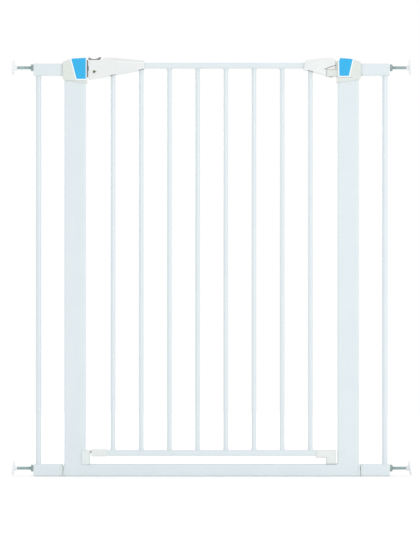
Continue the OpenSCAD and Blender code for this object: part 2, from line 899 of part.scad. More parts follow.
module latch_foot() {
    color(OFF_WHITE) difference() {
        union() {
            box(
                [latch_foot_x[0], -foot_half_d, latch_foot_z[0]],
                [latch_foot_x[1], foot_half_d, latch_foot_z[1]]
            );
            box([tongue_tip, -tongue_t / 2, tongue_low], [latch_foot_x[0] + past, tongue_t / 2, tongue_high]);
        }
        bottom_rail_space();
    }
}

module hinge_foot() {
    color(OFF_WHITE) difference() {
        union() {
            box(
                [hinge_x - hinge_foot_len, -foot_half_d, hinge_foot_low],
                [hinge_x, foot_half_d, hinge_foot_high]
            );
            translate([hinge_x, 0, leg_low]) linear_extrude(hinge_foot_high - leg_low)
                rounded(2 * leg_r, 2 * leg_r, leg_r - leg_flat);
        }
        bottom_rail_space();
        pin_space(lower_pin_top, lower_collar_z);
    }
}

// ---------- lock ----------

module lock_button() {
    stem_top = handle_top + 1.6;
    color(DARK) difference() {
        slab(-button_w / 2, button_w / 2) translate([button_x, button_low]) polygon([
            [0, 0], [0, 5.6], [button_len - 1.5, 6.6], [button_len, 5.8], [button_len - 4, 0]
        ]);
        rod_y(-far, far, saddle_x, saddle_z, saddle_r);
        box(
            [stem_x - fitted_gap, -stem_t / 2 - fitted_gap, 0],
            [stem_x + stem_w + fitted_gap, stem_t / 2 + fitted_gap, stem_top]
        );
    }
}

module lock_bolt() {
    color(ZINC) {
        box([bolt_tip, -bolt_t / 2, bolt_z], [bolt_back, bolt_t / 2, bolt_z + bolt_h]);
        box([stem_x, -stem_t / 2, bolt_z + bolt_h], [stem_x + stem_w, stem_t / 2, handle_top + 1.6]);
    }
}

// A round wire swept along a coil whose axis runs along X.
module lock_spring() {
    length = spring_seat - bolt_back;
    rings = spring_turns * spring_steps;
    run = length - 2 * spring_wire;
    pts = [
        for (i = [0 : rings], k = [0 : spring_sides - 1])
            let (a = 360 * i / spring_steps, b = 360 * k / spring_sides, r = spring_r + spring_wire * cos(b))
            [spring_wire + run * i / rings + spring_wire * sin(b), r * cos(a), r * sin(a)]
    ];
    walls = [
        for (i = [0 : rings - 1], k = [0 : spring_sides - 1])
            let (n = (k + 1) % spring_sides, a = i * spring_sides, b = a + spring_sides)
            [a + k, a + n, b + n, b + k]
    ];
    start_face = [for (k = [spring_sides - 1 : -1 : 0]) k];
    end_face = [for (k = [0 : spring_sides - 1]) rings * spring_sides + k];
    color(ZINC) translate([bolt_back, 0, bolt_z + bolt_h / 2])
        polyhedron(pts, concat([start_face], walls, [end_face]));
}

// ---------- what is drawn ----------

bottom_rail();
left_post();
right_post();
rail_end_plugs();
latch_cap();
latch_inlay();
latch_buffer();
keeper();
hinge_cap();
hinge_inlay();
cap_screws();
upper_hinge_bush();
lower_hinge_bush();
bottom_catch();
catch_screw();
left_extension_top();
left_extension_bottom();
left_extension_bar();
right_extension_top();
right_extension_bottom();
right_extension_bar();
extension_inner_plugs();
extension_outer_plugs();
extension_spigots();
nut_upper_left();
nut_lower_left();
nut_upper_right();
nut_lower_right();
rod_upper_left();
rod_lower_left();
rod_upper_right();
rod_lower_right();
pad_upper_left();
pad_lower_left();
pad_upper_right();
pad_lower_right();
upper_hinge_pin();
lower_hinge_pin();
door_top_rail();
door_bottom_rail();
door_bar(1);  // door_bar_1
door_bar(2);  // door_bar_2
door_bar(3);  // door_bar_3
door_bar(4);  // door_bar_4
door_bar(5);  // door_bar_5
door_bar(6);  // door_bar_6
door_bar(7);  // door_bar_7
door_bar(8);  // door_bar_8
handle_front();
handle_back();
handle_screws();
handle_arrow();
housing_front();
housing_back();
housing_screws();
latch_foot();
hinge_foot();
lock_button();
lock_bolt();
lock_spring();
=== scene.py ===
"""Looks of a pressure-fit safety gate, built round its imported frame.

Shapes are worked out in millimetres, in the frame's own axes, and put() turns them into metres.
X runs along the gate, +Y away from the side with the arrow, and Z up.
"""

import math

import bmesh
import bpy
import numpy as np
from mathutils import Matrix, Vector
from mathutils.geometry import delaunay_2d_cdt


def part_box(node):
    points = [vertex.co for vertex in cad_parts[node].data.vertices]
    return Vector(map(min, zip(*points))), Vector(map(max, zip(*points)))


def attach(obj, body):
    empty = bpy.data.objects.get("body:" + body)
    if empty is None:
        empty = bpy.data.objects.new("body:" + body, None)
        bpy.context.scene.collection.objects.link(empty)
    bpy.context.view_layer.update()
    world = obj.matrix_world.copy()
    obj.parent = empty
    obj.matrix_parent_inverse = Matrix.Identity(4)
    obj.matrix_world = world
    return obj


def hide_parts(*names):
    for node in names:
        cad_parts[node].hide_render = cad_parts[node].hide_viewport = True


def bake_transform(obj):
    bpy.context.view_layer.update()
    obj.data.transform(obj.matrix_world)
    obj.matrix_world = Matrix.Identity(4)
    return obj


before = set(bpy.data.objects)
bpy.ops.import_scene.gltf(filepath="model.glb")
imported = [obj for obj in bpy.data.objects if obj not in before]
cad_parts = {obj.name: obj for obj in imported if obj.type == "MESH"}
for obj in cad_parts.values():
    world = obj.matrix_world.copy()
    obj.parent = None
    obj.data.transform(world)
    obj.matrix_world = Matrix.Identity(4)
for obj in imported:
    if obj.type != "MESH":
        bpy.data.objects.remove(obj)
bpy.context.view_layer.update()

MM = 0.001
LEFT, RIGHT = -1, 1
FRONT, BACK = -1, 1


# ---------- places and sizes, from the frame ----------

def low(node):
    """The least corner of a node's box."""
    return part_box(node)[0] / MM


def high(node):
    """The greatest corner of a node's box."""
    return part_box(node)[1] / MM


def middle(node):
    """The middle of a node's box."""
    return (low(node) + high(node)) / 2


POST_IN = low("right_post").x
POST_OUT = high("right_post").x
POST_TOP = high("right_post").z
FRAME_Y = high("bottom_rail").y
RAIL_H = high("bottom_rail").z
EXT_IN = low("right_extension_bottom").x
EXT_OUT = high("right_extension_bottom").x
EXT_TOP = low("right_extension_top").z
EXT_BAR_X = middle("right_extension_bar").x
EXT_BAR_R = high("right_extension_bar").y
CAP_Y = high("latch_cap").y
SHELL_Y = high("handle_back").y
HANDLE_X = low("handle_front").x
HANDLE_TOP = POST_TOP + 7               # of its flat part, where the button slides
HINGE_X = middle("upper_hinge_pin").x
ARM_LOW = low("upper_hinge_bush").z
ARM_TOP = high("upper_hinge_bush").z
KNUCKLE_LOW = low("lock_bolt").z + 3.2  # underside of the housing's end, over the arm
BAR_R = high("door_bar_1").y
BAR_X = [middle(f"door_bar_{n}").x for n in range(1, 9)]
BAR_LOW = low("door_bar_1").z
BAR_TOP = high("door_bar_1").z
ROD_R = high("rod_lower_right").y
ROD_RISE = middle("nut_lower_right").z
NUT_X = low("nut_lower_right").x
NUT_T = high("nut_lower_right").x - NUT_X
NUT_R = high("nut_lower_right").y
BALL_R = 3.6
BALL_X = high("rod_lower_right").x - BALL_R
SPINDLE_Z = {"lower": 0.0, "upper": EXT_TOP}
LEAN = {"lower": 8.0, "upper": 3.5}     # degrees that the pads hang over at rest
SIDES = {"left": LEFT, "right": RIGHT}


# ---------- materials ----------

SHADE_AND_TONE_SCALE = (0.985, 0.976, 0.966)     # scale on a colour where a mesh's darkening attribute is 1: painted shade on the handle's top band, and the arm's tone on the housing below its seam


def linear(colour):
    """An sRGB colour, 0 to 255, as linear RGBA."""
    parts = [c / 255 for c in colour]
    return [c / 12.92 if c <= 0.04045 else ((c + 0.055) / 1.055) ** 2.4 for c in parts] + [1.0]


class Surface:
    """A procedural material that is built up in layers, with the record's slot that it stands for."""

    def __init__(self, slot, colour, rough, **sockets):
        self.slot = slot
        self.colour = colour
        self.rough = rough
        self.material = bpy.data.materials.new(slot + "_look")
        self.material.use_nodes = True
        self.tree = self.material.node_tree
        self.shader = self.tree.nodes["Principled BSDF"]
        self.coordinates = self.tree.nodes.new("ShaderNodeTexCoord").outputs["Object"]
        self.height = None
        for name, value in sockets.items():
            self.shader.inputs[name.replace("_", " ")].default_value = value

    def node(self, kind, inputs=(), **settings):
        """A node whose inputs are set to values, or linked where they are sockets."""
        made = self.tree.nodes.new("ShaderNode" + kind)
        for name, value in settings.items():
            setattr(made, name, value)
        for name, value in dict(inputs).items():
            if isinstance(value, bpy.types.NodeSocket):
                self.tree.links.new(value, made.inputs[name])
            else:
                made.inputs[name].default_value = value
        return made

    def noise(self, size, detail=2.0, stretch=(1, 1, 1)):
        """Noise whose blotches are about size mm across."""
        where = self.node("Mapping", {"Vector": self.coordinates, "Scale": stretch})
        inputs = {"Vector": where.outputs[0], "Scale": 1 / (size * MM), "Detail": detail}
        return self.node("TexNoise", inputs).outputs[0]

    def cells(self, size):
        """Cells about size mm across."""
        inputs = {"Vector": self.coordinates, "Scale": 1 / (size * MM)}
        return self.node("TexVoronoi", inputs)

    def mix(self, factor, a, b):
        """A colour from a to b."""
        made = self.node("Mix", data_type="RGBA")
        self.tree.links.new(factor, made.inputs[0])
        for index, value in ((6, a), (7, b)):
            if isinstance(value, bpy.types.NodeSocket):
                self.tree.links.new(value, made.inputs[index])
            else:
                made.inputs[index].default_value = value
        return made.outputs[2]

    def tone(self, by, spread, tint=(0, 0, 0)):
        """The base colour, varied by a pattern, lighter to darker by spread and shifted by tint."""
        light = linear([min(c + spread, 255) for c in self.colour])
        dark = linear([max(c - spread + t, 0) for c, t in zip(self.colour, tint)])
        # Where a mesh's darkening attribute is 1: painted shade on the handle's top band, and the arm's
        # tone on the housing below its seam.
        shade_and_tone = linear([c * k for c, k in zip(self.colour, SHADE_AND_TONE_SCALE)])
        shade_and_arm_tone = self.node("Attribute", attribute_name="shade_and_arm_tone").outputs["Fac"]
        colour = self.mix(shade_and_arm_tone, self.mix(by, light, dark), shade_and_tone)
        self.tree.links.new(colour, self.shader.inputs["Base Color"])

    def gloss(self, by, spread):
        """The roughness, varied by a pattern."""
        to = {"Value": by, "From Min": 0.3, "From Max": 0.7}
        to["To Min"] = self.rough - spread
        to["To Max"] = self.rough + spread
        self.tree.links.new(self.node("MapRange", to).outputs[0], self.shader.inputs["Roughness"])

    def relief(self, by, depth):
        """Adds a layer of bumps, depth mm high."""
        step = self.node("Math", {0: by, 1: depth * MM}, operation="MULTIPLY").outputs[0]
        if self.height:
            step = self.node("Math", {0: self.height, 1: step}, operation="ADD").outputs[0]
        self.height = step

    def done(self):
        """Ends the layers, with all the bumps on the shader."""
        bump = self.node("Bump", {"Height": self.height, "Strength": 1.0, "Distance": 1.0})
        self.tree.links.new(bump.outputs[0], self.shader.inputs["Normal"])
        return self


def powder_coat(slot, colour):
    """Baked powder paint: a glossy skin with orange peel and a few nibs."""
    look = Surface(slot, colour, 0.38, Coat_Weight=0.15, Coat_Roughness=0.2)
    peel = look.noise(1.6, 2)
    look.tone(look.noise(60, 3), 2.0, (-2, 0, 1))
    look.gloss(peel, 0.06)
    look.relief(peel, 0.035)
    look.relief(look.noise(0.35, 1), 0.006)
    return look.done()


def moulded(slot, colour, rough, grain=0.5, depth=0.012, tint=(0, 0, 0), **sockets):
    """Injection-moulded plastic: spark-eroded grain, and a slow drift in tone from the melt's flow."""
    look = Surface(slot, colour, rough, **sockets)
    pits = look.cells(grain).outputs["Distance"]
    look.tone(look.noise(26, 3, (1, 1, 0.6)), 2.5, tint)
    look.gloss(look.noise(4, 2), 0.06)
    look.relief(pits, depth)
    look.relief(look.noise(7, 1), 0.03)
    return look.done()


def plated(slot, colour):
    """Bright zinc plate on steel: spangle, fine turning marks and a slight stain."""
    look = Surface(slot, colour, 0.34, Metallic=1.0)
    spangle = look.cells(1.1).outputs["Color"]
    grey = look.node("RGBToBW", {"Color": spangle}).outputs[0]
    look.tone(look.noise(5, 4), 14, (-4, 2, 3))
    look.gloss(grey, 0.09)
    look.relief(look.noise(0.25, 2, (6, 1, 1)), 0.008)
    look.relief(grey, 0.004)
    return look.done()


LOOKS = {
    "paint": powder_coat("tube_paint", (210, 218, 221)),
    "plug": moulded("plug_plastic", (213, 222, 223), 0.42),
    "cap": moulded("cap_plastic", (209, 214, 211), 0.4, tint=(0, 0, -3)),
    "catch": moulded("cap_plastic", (214, 222, 221), 0.45),
    # pale and glossy: the saddles' lips, and a painted highlight on the handle's bead
    "rim": moulded("cap_plastic", (232, 238, 241), 0.3, Coat_Weight=0.3, Coat_Roughness=0.15),
    "handle": moulded("handle_plastic", (220, 222, 221), 0.34, tint=(-2, 0, 1)),
    "blue": moulded("blue_plastic", (26, 169, 222), 0.28, tint=(-6, -5, -3), Coat_Weight=0.2,
                    Coat_Roughness=0.12),
    # painted shade in the bottom of the housing's seam
    "dark": moulded("dark_plastic", (62, 64, 65), 0.45, grain=0.4, depth=0.02),
    # the buffer's dark grey is painted shade for the gap between the latch cap and the handle's end
    "gap_shade_buffer": moulded("dark_plastic", (130, 133, 134), 0.5, grain=0.4, depth=0.02),
    # painted shade in the gaps where the bars run into the shells
    "gap_shade": moulded("dark_plastic", (152, 156, 156), 0.6, grain=0.4, depth=0.02),
    "button": moulded("dark_plastic", (120, 124, 124), 0.4, grain=0.4, depth=0.02),
    "bearing": moulded("bearing_plastic", (217, 221, 219), 0.5),
    "arrow": moulded("arrow_green", (76, 90, 48), 0.4),
    "zinc": plated("zinc_steel", (150, 164, 164)),
    "rod": plated("zinc_steel", (172, 188, 185)),
    "pad": moulded("pad_plastic", (226, 229, 230), 0.5, depth=0.02),
}


# ---------- flat outlines ----------

def array(points):
    return np.array([tuple(p) for p in points])


def vectors(points):
    return [Vector(p) for p in points]


def along(origin, points):
    """Points whose X was given from origin, in the frame's own X."""
    return [(origin + x, z) for x, z in points]


def counterclockwise(points):
    area = sum(a[0] * b[1] - b[0] * a[1] for a, b in zip(points, points[1:] + points[:1]))
    return list(points) if area > 0 else list(points)[::-1]


def rounded_outline(points, radius, step=2.5):
    """The closed outline with its corners rounded, and no stretch longer than step."""
    points = vectors(counterclockwise(points))
    out = []
    for i, corner in enumerate(points):
        before, after = points[i - 1], points[(i + 1) % len(points)]
        into, away = before - corner, after - corner
        half = into.angle(away) / 2
        cut = min(radius / math.tan(max(half, 0.05)), 0.45 * into.length, 0.45 * away.length)
        a, b = corner + into.normalized() * cut, corner + away.normalized() * cut
        bends = max(1, round(math.degrees(math.pi - 2 * half) / 12))
        for k in range(bends + 1):
            t = k / bends
            out.append(a * (1 - t) ** 2 + corner * (2 * t * (1 - t)) + b * t * t)
    return evened(out, step)


def evened(line, step, closed=True):
    """The line with points added, so that no stretch is longer than step."""
    line = vectors(line)
    out = []
    for a, b in zip(line, line[1:] + line[:1] if closed else line[1:]):
        length = (b - a).length
        if length < 1e-4:
            continue
        parts = max(1, math.ceil(length / step))
        out += [a.lerp(b, k / parts) for k in range(parts)]
    return out if closed else out + [line[-1]]


def distances(points, line, closed=True):
    """How far each point is from the line."""
    line = array(line)
    a = line if closed else line[:-1]
    b = np.roll(line, -1, axis=0) if closed else line[1:]
    run = b - a
    along = np.clip(((points[:, None] - a) * run).sum(2) / (run ** 2).sum(1), 0, 1)
    return np.linalg.norm(points[:, None] - a - along[..., None] * run, axis=2).min(1)


def within(points, line):
    """Which points are inside the closed line."""
    line = array(line)
    odd = np.zeros(len(points), bool)
    for a, b in zip(line, np.roll(line, -1, axis=0)):
        crosses = (a[1] > points[:, 1]) != (b[1] > points[:, 1])
        reach = (b[0] - a[0]) * (points[:, 1] - a[1]) / (b[1] - a[1] + 1e-12) + a[0]
        odd ^= crosses & (points[:, 0] < reach)
    return odd


def beside(line, distance, closed=True):
    """Points at a distance to the left of the line."""
    out = []
    count = len(line)
    for i, p in enumerate(line):
        if closed:
            run = line[(i + 1) % count] - line[i - 1]
        else:
            run = line[min(i + 1, count - 1)] - line[max(i - 1, 0)]
        if run.length > 1e-6:
            run.normalize()
            out.append(p + Vector((-run.y, run.x)) * distance)
    return out


def well_inside(points, outline, margin):
    """Those of the points that are inside the outline and further than margin from it."""
    if not points:
        return []
    spots = array(points)
    kept = within(spots, outline) & (distances(spots, outline) > margin)
    return [p for p, keep in zip(points, kept) if keep]


class Groove:
    """A groove along an open line on a face, with a flat floor and slanted sides."""

    def __init__(self, line, width, depth):
        self.line = evened(line, 1.5, closed=False)
        self.width = width
        self.depth = depth

    def points(self):
        """Points along the groove's edges, the edges of its floor and its middle."""
        shares = (-0.5, -0.22, 0, 0.22, 0.5)
        return [p for share in shares for p in beside(self.line, share * self.width, closed=False)]

    def drop(self, points):
        """How deep the groove is at each point."""
        away = distances(points, self.line, closed=False) / (self.width / 2)
        return self.depth * np.clip(1.8 * (1 - away), 0, 1)


CROWN_RUN = 7     # how far in from its rim a crowned face has risen most of the way


class Face:
    """One end of a puffed body: where it is, the radius of its rim, and what is worked into it."""

    def __init__(self, at, rim=0.0, crown=0.0, grooves=(), lean=None):
        self.at = at
        self.rim = rim
        self.crown = crown
        self.grooves = grooves
        self.lean = lean

    def rim_points(self, outline):
        """Points on the rim's curve, closer together where it turns most."""
        out = []
        for k in range(1, 5):
            inward = self.rim * (1 - math.cos(math.radians(22.5 * k)))
            ring = beside(outline, inward)
            clear = distances(array(ring), outline) > 0.97 * inward
            out += [p for p, keep in zip(ring, clear) if keep]
        return out

    def inner_points(self, outline, step, extra):
        """Points for the grooves, then the extra ones and a staggered grid, step apart."""
        flat = array(outline)
        lo, hi = flat.min(0), flat.max(0)
        grid = [
            Vector((x, z))
            for i, x in enumerate(np.arange(lo[0] + step / 2, hi[0], step))
            for z in np.arange(lo[1] + step / 2 * (i % 2), hi[1], step)
        ]
        grooved = [p for groove in self.grooves for p in groove.points()]
        out = well_inside(grooved, outline, 0.15)
        return out + well_inside(list(extra) + grid, outline, self.rim + 0.3 * step)

    def layout(self, outline, step, extra=()):
        """The face's points, its triangles, and which of the points are the outline's."""
        count = len(outline)
        points = list(outline)
        if self.rim:
            points += self.rim_points(outline)
        if self.rim or self.crown or self.grooves or self.lean:
            points += self.inner_points(outline, step, extra)
        edges = [(i, (i + 1) % count) for i in range(count)]
        places, _, triangles, sources, *_ = delaunay_2d_cdt(points, edges, [], 1, 1e-5, True)
        places = array(places)
        inside = within(array([places[list(t)].mean(0) for t in triangles]), outline)
        index = {s: i for i, source in enumerate(sources) for s in source}
        kept = [list(t) for t, keep in zip(triangles, inside) if keep]
        return places, kept, [index[i] for i in range(count)]

    def offsets(self, points, outline):
        """How far in from the face's plane each point lies."""
        away = distances(points, outline)
        in_rim = np.clip(self.rim - away, 0, None)
        drop = self.rim - np.sqrt(np.clip(self.rim ** 2 - in_rim ** 2, 0, None))
        drop -= self.crown * (1 - np.exp(-np.clip(away - self.rim, 0, None) / CROWN_RUN))
        for groove in self.grooves:
            drop += groove.drop(points)
        if self.lean:
            drop += np.array([self.lean(*p) for p in points])
        return drop


def puffed(outline, front, back, step=4.0, extra=(), upright=False):
    """A closed body between two faces. The outline is in X and Z, or in X and Y when it is upright."""
    verts, faces, rims = [], [], []
    for face, inward in ((front, 1), (back, -1)):
        points, triangles, rim = face.layout(outline, step, extra)
        depth = face.at + inward * face.offsets(points, outline)
        base = len(verts)
        verts += [(p[0], p[1], d) if upright else (p[0], d, p[1]) for p, d in zip(points, depth)]
        faces += [[base + i for i in t] for t in triangles]
        rims.append([base + i for i in rim])
    near, far = rims
    for i in range(len(outline)):
        j = (i + 1) % len(outline)
        faces.append([near[i], near[j], far[j], far[i]])
    return verts, faces


# ---------- round and lofted shapes ----------

TIP = 0.02     # radius of a ring that stands for a point


def loft(rings, close_ends=True):
    """Joins rings of equal length, one after another."""
    count = len(rings[0])
    verts = [tuple(p) for ring in rings for p in ring]
    faces = []
    for k in range(len(rings) - 1):
        for i in range(count):
            j = (i + 1) % count
            faces.append([k * count + i, k * count + j, (k + 1) * count + j, (k + 1) * count + i])
    if close_ends:
        faces.append(list(range(count))[::-1])
        faces.append([(len(rings) - 1) * count + i for i in range(count)])
    return verts, faces


def turns(steps):
    """Angles once round, from 0."""
    return [2 * math.pi * k / steps for k in range(steps)]


def circle(x, r, steps):
    """A circle round the X axis, at x."""
    return [(x, r * math.cos(a), r * math.sin(a)) for a in turns(steps)]


def rectangle_ring(x, w, h, r, centre):
    """A ring in Y and Z, at x, round a rectangle with round corners, its middle at height centre."""
    out = []
    steps = 5
    for cy, cz, start in ((1, 1, 0), (-1, 1, 90), (-1, -1, 180), (1, -1, 270)):
        for k in range(steps + 1):
            a = math.radians(start + 90 * k / steps)
            z = centre + cz * (h / 2 - r) + r * math.sin(a)
            out.append((x, cy * (w / 2 - r) + r * math.cos(a), z))
    return out


def circle_ring(x, r, centre, like):
    """A circle in Y and Z with a point for each point of another ring, at the same bearings."""
    bearings = [math.atan2(z - centre, y) for _, y, z in like]
    return [(x, r * math.cos(a), centre + r * math.sin(a)) for a in bearings]


def joined(shapes):
    """Several shapes as one."""
    verts, faces = [], []
    for more_verts, more_faces in shapes:
        base = len(verts)
        verts += list(more_verts)
        faces += [[base + i for i in f] for f in more_faces]
    return verts, faces


def moved(shape, matrix):
    """The shape with a matrix applied to it."""
    return [tuple(matrix @ Vector(v)) for v in shape[0]], shape[1]


def mirrored(shape, side):
    """The shape as made for the right side, or mirrored to the left."""
    return [(side * x, y, z) for x, y, z in shape[0]], shape[1]


def flipped(shape):
    """The shape with front and back exchanged."""
    return [(x, -y, z) for x, y, z in shape[0]], shape[1]


def put(name, shape, look, body, stands_for=(), sharp=32, shade_and_arm_tone=None):
    """Makes the piece in metres, with its material, on its body, or on none when no body is given.

    The last argument gives, from 0 to 1, how far a point x, y, z is darkened: painted shade on the
    handle's top band, and the arm's tone on the housing below its seam.
    """
    verts, faces = shape
    mesh = bpy.data.meshes.new(name)
    mesh.from_pydata([Vector(v) * MM for v in verts], [], faces)
    work = bmesh.new()
    work.from_mesh(mesh)
    bmesh.ops.remove_doubles(work, verts=work.verts, dist=2e-6)
    bmesh.ops.recalc_face_normals(work, faces=work.faces)
    work.to_mesh(mesh)
    work.free()
    mesh.polygons.foreach_set("use_smooth", [True] * len(mesh.polygons))
    mesh.set_sharp_from_angle(angle=math.radians(sharp))
    if shade_and_arm_tone:
        shade_and_tone = mesh.attributes.new("shade_and_arm_tone", "FLOAT", "POINT")
        for v in mesh.vertices:
            shade_and_tone.data[v.index].value = shade_and_arm_tone(*(v.co / MM))
    mesh.materials.append(LOOKS[look].material)
    piece = bpy.data.objects.new(name, mesh)
    bpy.context.scene.collection.objects.link(piece)
    if body:
        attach(piece, body)
    if stands_for:
        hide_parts(*stands_for)
    return piece


# ---------- caps on the posts ----------

NOSE_THIN = 3.5      # how much thinner the housing's nose and the arm are than the housing
INLAY_PROUD = 0.3    # how far the saddles stand out of the caps

# From here to the inlays, X is from the inner face of the post.
LATCH_CAP = [
    (-2.5, POST_TOP - 48.5), (-2.5, POST_TOP + 11.7), (34.8, POST_TOP + 9.4),
    (54.5, POST_TOP + 2), (54.5, POST_TOP - 36), (50, POST_TOP - 41.3),
]
HINGE_CAP = [
    (-2.5, POST_TOP - 46.5), (-2.5, ARM_LOW - 1), (-1, ARM_LOW - 1), (-1, POST_TOP + 4),
    (4, POST_TOP + 11.2), (36, POST_TOP + 8.6), (54.5, POST_TOP + 2), (54.5, POST_TOP - 36),
    (50, POST_TOP - 39.4),
]
LATCH_INLAY = [
    (-1.1, POST_TOP - 38.6), (-1.1, POST_TOP + 11.9), (34.2, POST_TOP + 9.7), (34.2, POST_TOP + 9.2),
    (21.6, POST_TOP - 38.6),
]
HINGE_INLAY = [
    (3.1, ARM_LOW + 0.4), (2.5, POST_TOP + 4), (5.3, POST_TOP + 11.3), (35.6, POST_TOP + 9),
    (35.6, POST_TOP + 7.8), (26.5, ARM_LOW + 0.4),
]


def cap(points, collar, depth):
    """A hood over a post's top, with a line that sets off its collar."""
    groove = Groove(along(POST_IN, collar), 1.3, depth)
    ends = [Face(side * CAP_Y, 1.3, 0.0, [groove]) for side in (FRONT, BACK)]
    return puffed(rounded_outline(along(POST_IN, points), 1.4), *ends, step=5)


def saddle(points, grown=0.0):
    """The saddle clipped over a cap, or the pale lip round it when it is grown."""
    outline = rounded_outline(along(POST_IN, points), 1.1)
    face = CAP_Y + INLAY_PROUD
    if not grown:
        return puffed(outline, Face(-face, 0.9, 0.12), Face(face, 0.9, 0.12), step=5)
    inner, top = min(p.x for p in outline), max(p.y for p in outline)
    side, sunk, slant = 1.3, 0.3, 0.06      # the lip hides under the saddle's sloping top
    outline = [
        Vector((max(p.x, inner - side), min(p.y, top - sunk - slant * max(p.x - inner, 0))))
        for p in beside(outline, -grown)
    ]
    return puffed(evened(outline, 2.5), Face(0.1 - face, 0.5), Face(face - 0.1, 0.5), step=5)


def latch_side():
    """Made as for the right side, and mirrored."""
    line = [(-2.5, POST_TOP - 43.0), (20, POST_TOP - 42.4), (51, POST_TOP - 40.5)]
    put("latch_hood", mirrored(cap(LATCH_CAP, line, 0.8), LEFT), "cap", "frame", ["latch_cap"])
    put("latch_lip", mirrored(saddle(LATCH_INLAY, 2.2), LEFT), "rim", "frame")
    put("latch_saddle", mirrored(saddle(LATCH_INLAY), LEFT), "blue", "frame", ["latch_inlay"])


def horns(z0, z1, side):
    """A hollow-faced block that fills the corners beside a round end, and still lets it turn."""
    clear, half, spread = SHELL_Y + 0.22, SHELL_Y - NOSE_THIN - 0.2, math.radians(36.5)
    tip = clear * math.cos(spread)
    plan = [(clear * math.cos(a), clear * math.sin(a)) for a in np.linspace(spread, -spread, 15)]
    plan += [(tip, -half), (SHELL_Y + 1.2, -half), (SHELL_Y + 1.2, half), (tip, half)]
    outline = rounded_outline([(HINGE_X + side * x, y) for x, y in plan], 0.3)
    return puffed(outline, Face(z0), Face(z1), step=5, upright=True)


def hinge_arm():
    """The arm that holds the upper pin: from above, a round end and flat sides that flare into the cap."""
    half = SHELL_Y - NOSE_THIN
    start = 180 - math.degrees(math.asin(half / SHELL_Y))
    steps = [math.radians(a) for a in np.linspace(start, 360 - start, 16)]
    plan = [(HINGE_X + SHELL_Y * math.cos(a), SHELL_Y * math.sin(a)) for a in steps]
    plan += [(POST_IN - 4.8, -half), (POST_IN, -SHELL_Y), (POST_IN, SHELL_Y), (POST_IN - 4.8, half)]
    return puffed(rounded_outline(plan, 0.8), Face(ARM_LOW, 1.4), Face(ARM_TOP, 0.3), step=5, upright=True)


def hinge_side():
    line = [(-2.5, POST_TOP - 34.6), (31, POST_TOP - 34.4)]
    body = joined([cap(HINGE_CAP, line, 1.2), hinge_arm(), horns(ARM_TOP - 1, POST_TOP + 3, RIGHT)])
    put("hinge_hood", body, "cap", "frame", ["hinge_cap"])
    put("hinge_lip", saddle(HINGE_INLAY, 1.9), "rim", "frame")
    put("hinge_saddle", saddle(HINGE_INLAY), "blue", "frame", ["hinge_inlay"])


# ---------- handle and hinge housing ----------

NOTCH = 1.7          # height of the notch in a shell's underside where a bar runs in
NOTCH_HALF = BAR_R + 0.7
SPLIT = 0.25         # half the fine gap between two shells
CHANNEL_HALF = 8.5   # half the width of the channel that the button slides in
CHANNEL_END = 40.3   # how far from the handle's left end the channel stops

# X is from the handle's left end.
HANDLE_UNDER = [(2, HANDLE_TOP - 45.7), (53, HANDLE_TOP - 37.5), (131, HANDLE_TOP - 22.5)]
HANDLE_OVER = [
    (131, HANDLE_TOP - 3.4), (129, HANDLE_TOP - 1.6), (62, HANDLE_TOP + 5), (45, HANDLE_TOP + 5.5),
    (40, HANDLE_TOP + 5), (36, HANDLE_TOP + 3.4), (32, HANDLE_TOP), (1, HANDLE_TOP), (0, HANDLE_TOP - 1),
    (0, HANDLE_TOP - 45),
]
CREASE = [(44, HANDLE_TOP + 1.0), (60, HANDLE_TOP - 4.6), (132, HANDLE_TOP - 7.4)]
FLOW = [(14, HANDLE_TOP - 17), (66, HANDLE_TOP - 31)]
POINTER = [(10.9, HANDLE_TOP - 24.2), (18.3, HANDLE_TOP - 27.9), (10.9, HANDLE_TOP - 31.6)]


def height_on(line, x):
    """The line's height at x."""
    return float(np.interp(x, [p[0] for p in line], [p[1] for p in line]))


def notched(under, bars):
    """The underside, left to right, stepping up over each bar."""
    kept = [p for p in under if all(abs(p[0] - bar) >= NOTCH_HALF for bar in bars)]
    steps = [
        (x, height_on(under, x) + rise)
        for bar in bars
        for x, rises in ((bar - NOTCH_HALF, (0, NOTCH)), (bar + NOTCH_HALF, (NOTCH, 0)))
        for rise in rises
    ]
    return sorted(kept + steps, key=lambda p: p[0])


def channelled(over):
    """The top line, right to left, of the part of the handle between the channel's two sides."""
    end = next(i for i, p in enumerate(over) if p[0] < CHANNEL_END)
    rise = height_on(over[::-1], CHANNEL_END)
    return over[:end] + [(CHANNEL_END, rise), (CHANNEL_END, HANDLE_TOP)] + [p for p in over if p[0] < 2]


def gap_shade(x, under):
    """A dark ring of painted shade in the gap round a bar where it runs into a shell, which slants with
    the shell's underside.
    """
    low_edge, outer = 0.4, BAR_R + 0.55
    rings = []
    for rise, r in ((low_edge, BAR_R), (low_edge, outer), (NOTCH, outer), (NOTCH, BAR_R)):
        ring = [(x + r * math.cos(a), r * math.sin(a)) for a in turns(32)]
        rings.append([(px, py, height_on(under, px) + rise) for px, py in ring])
    return loft(rings + [rings[0]], close_ends=False)


def bead(line, y, r):
    """A thin round bead along a line, with its middle at y, that thins out towards its ends."""
    spots = evened(line, 2, closed=False)
    rings = []
    for i, p in enumerate(spots):
        size = r * min(1.0, 0.15 + 0.25 * min(i, len(spots) - 1 - i))
        rings.append([(p.x, y + size * math.cos(a), p.y + size * math.sin(a)) for a in turns(12)])
    return loft(rings)


